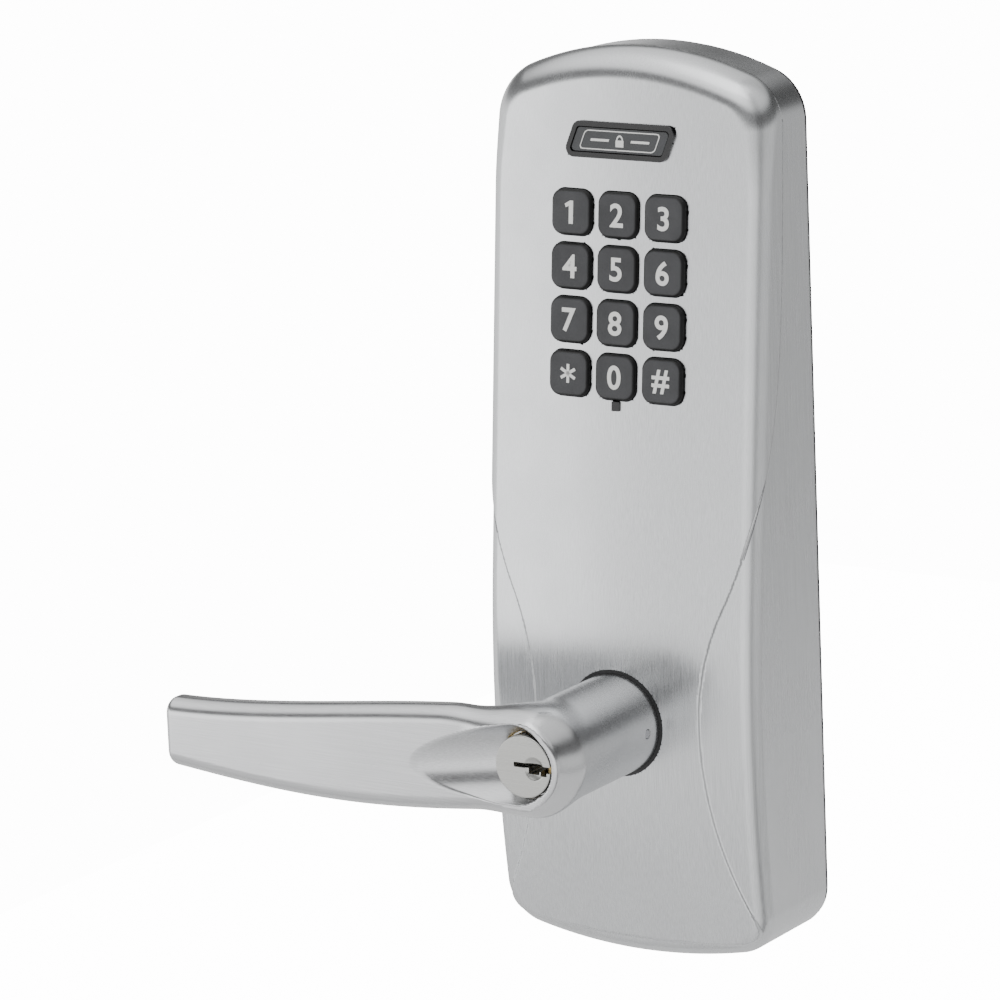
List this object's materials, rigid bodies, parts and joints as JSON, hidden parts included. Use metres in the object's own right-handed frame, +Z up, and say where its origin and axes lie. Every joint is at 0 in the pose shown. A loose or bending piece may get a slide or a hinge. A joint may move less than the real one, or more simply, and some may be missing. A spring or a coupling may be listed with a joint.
{
  "type": "keypad smart lock",
  "caption": "Outside unit of an electronic keypad door lock: cast escutcheon with push keys, an entry button, and a sprung lever with a key cylinder.",
  "frame": {"origin": "the lever and spindle axis at the door's outer face", "axes": "+X to the right seen from outside, +Y into the door, +Z up"},
  "size_m": [0.1691, 0.1356, 0.2612],
  "materials": {
    "satin_chrome": "satin brushed",
    "lever_chrome": "satin",
    "plug_nickel": "fine turned",
    "gasket_rubber": "matte",
    "zinc_plate": "zinc plated",
    "post_steel": "turned",
    "screw_steel": "plated",
    "cage_casting": "as cast",
    "bushing_nylon": "moulded",
    "silicone": "matte",
    "board_laminate": "solder mask",
    "dome_steel": "pressed",
    "bezel_gloss": "gloss",
    "enter_plastic": "satin",
    "window_plastic": "gloss",
    "key_plastic": "moulded",
    "chip_plastic": "moulded",
    "light_lens": "clear",
    "sounder_plastic": "moulded",
    "cylinder_brass": "turned",
    "spring_steel": "drawn",
    "cam_steel": "sintered",
    "motor_can": "plated"
  },
  "bodies": {
    "case": {"board_screws": "screw_steel", "clutch_motor": "motor_can", "control_chips": "chip_plastic", "dome_contacts": "dome_steel", "door_gasket": "gasket_rubber", "enter_bezel": "bezel_gloss", "escutcheon_housing": "satin_chrome", "harness_connector": "chip_plastic", "keypad_board": "board_laminate", "keypad_seal": "silicone", "lever_bushing": "bushing_nylon", "motor_bracket": "zinc_plate", "mounting_plate": "zinc_plate", "mounting_posts": "post_steel", "plate_screws": "screw_steel", "return_spring": "spring_steel", "sounder": "sounder_plastic", "spring_cage": "cage_casting", "status_light": "light_lens", "status_window": "window_plastic"},
    "lever": {"lever_handle": "lever_chrome", "cylinder_shell": "cylinder_brass", "drive_tube": "post_steel", "drive_cam": "cam_steel", "catch_spring": "spring_steel", "driver_pins": "cylinder_brass", "pin_springs": "spring_steel", "tube_clip": "spring_steel"},
    "catch": {"lever_catch": "screw_steel"},
    "plug": {"cylinder_plug": "plug_nickel", "plug_clip": "spring_steel", "tailpiece": "post_steel", "bottom_pins": "cylinder_brass"},
    "spindle_shaft": {"spindle": "post_steel"},
    "collar": {"clutch_collar": "cam_steel"},
    "fork": {"clutch_fork": "cam_steel"},
    "screw": {"lead_screw": "screw_steel"},
    "enter": {"enter_button": "enter_plastic"},
    "press_0": {"key_0": "key_plastic"},
    "press_1": {"key_1": "key_plastic"},
    "press_2": {"key_2": "key_plastic"},
    "press_3": {"key_3": "key_plastic"},
    "press_4": {"key_4": "key_plastic"},
    "press_5": {"key_5": "key_plastic"},
    "press_6": {"key_6": "key_plastic"},
    "press_7": {"key_7": "key_plastic"},
    "press_8": {"key_8": "key_plastic"},
    "press_9": {"key_9": "key_plastic"},
    "press_hash": {"key_hash": "key_plastic"},
    "press_star": {"key_star": "key_plastic"}
  },
  "joints": [
    {"name": "lever_turn", "type": "hinge", "parent": "case", "child": "lever", "pos_m": [0, 0, 0], "axis": [0, 1, 0], "range_deg": [-50, 50], "stiffness_Nm_per_rad": 2, "springref_deg": 5.73, "deforming": ["return_spring"]},
    {"name": "plug_turn", "type": "hinge", "parent": "lever", "child": "plug", "pos_m": [0, -0.088, 0], "axis": [0, 1, 0], "range_deg": [-90, 90]},
    {"name": "catch_press", "type": "slide", "parent": "lever", "child": "catch", "axis": [-1, 0, 0], "range_m": [0, 0.0015], "stiffness_N_per_m": 300},
    {"name": "spindle_turn", "type": "hinge", "parent": "case", "child": "spindle_shaft", "pos_m": [0, 0, 0], "axis": [0, 1, 0], "range_deg": [-50, 50]},
    {"name": "screw_turn", "type": "hinge", "parent": "case", "child": "screw", "pos_m": [0, -0.015, 0.039], "axis": [0, 1, 0], "range_deg": [0, 360]},
    {"name": "fork_slide", "type": "slide", "parent": "case", "child": "fork", "axis": [0, 1, 0], "range_m": [0, 0.003]},
    {"name": "collar_slide", "type": "slide", "parent": "spindle_shaft", "child": "collar", "axis": [0, 1, 0], "range_m": [0, 0.003]},
    {"name": "enter_press", "type": "slide", "parent": "case", "child": "enter", "axis": [0, 0.9951, -0.0985], "range_m": [0, 0.0008], "stiffness_N_per_m": 400},
    {"name": "press_0", "type": "slide", "parent": "case", "child": "press_0", "axis": [0, 0.9951, -0.0985], "range_m": [0, 0.0012], "stiffness_N_per_m": 400},
    {"name": "press_1", "type": "slide", "parent": "case", "child": "press_1", "axis": [0, 0.9951, -0.0985], "range_m": [0, 0.0012], "stiffness_N_per_m": 400},
    {"name": "press_2", "type": "slide", "parent": "case", "child": "press_2", "axis": [0, 0.9951, -0.0985], "range_m": [0, 0.0012], "stiffness_N_per_m": 400},
    {"name": "press_3", "type": "slide", "parent": "case", "child": "press_3", "axis": [0, 0.9951, -0.0985], "range_m": [0, 0.0012], "stiffness_N_per_m": 400},
    {"name": "press_4", "type": "slide", "parent": "case", "child": "press_4", "axis": [0, 0.9951, -0.0985], "range_m": [0, 0.0012], "stiffness_N_per_m": 400},
    {"name": "press_5", "type": "slide", "parent": "case", "child": "press_5", "axis": [0, 0.9951, -0.0985], "range_m": [0, 0.0012], "stiffness_N_per_m": 400},
    {"name": "press_6", "type": "slide", "parent": "case", "child": "press_6", "axis": [0, 0.9951, -0.0985], "range_m": [0, 0.0012], "stiffness_N_per_m": 400},
    {"name": "press_7", "type": "slide", "parent": "case", "child": "press_7", "axis": [0, 0.9951, -0.0985], "range_m": [0, 0.0012], "stiffness_N_per_m": 400},
    {"name": "press_8", "type": "slide", "parent": "case", "child": "press_8", "axis": [0, 0.9951, -0.0985], "range_m": [0, 0.0012], "stiffness_N_per_m": 400},
    {"name": "press_9", "type": "slide", "parent": "case", "child": "press_9", "axis": [0, 0.9951, -0.0985], "range_m": [0, 0.0012], "stiffness_N_per_m": 400},
    {"name": "press_hash", "type": "slide", "parent": "case", "child": "press_hash", "axis": [0, 0.9951, -0.0985], "range_m": [0, 0.0012], "stiffness_N_per_m": 400},
    {"name": "press_star", "type": "slide", "parent": "case", "child": "press_star", "axis": [0, 0.9951, -0.0985], "range_m": [0, 0.0012], "stiffness_N_per_m": 400}
  ],
  "couplings": [
    {"joint": "spindle_turn", "follows": "lever_turn", "ratio": 1},
    {"joint": "screw_turn", "follows": "fork_slide", "rad_per_m": 2094.4},
    {"joint": "collar_slide", "follows": "fork_slide", "ratio": 1}
  ]
}
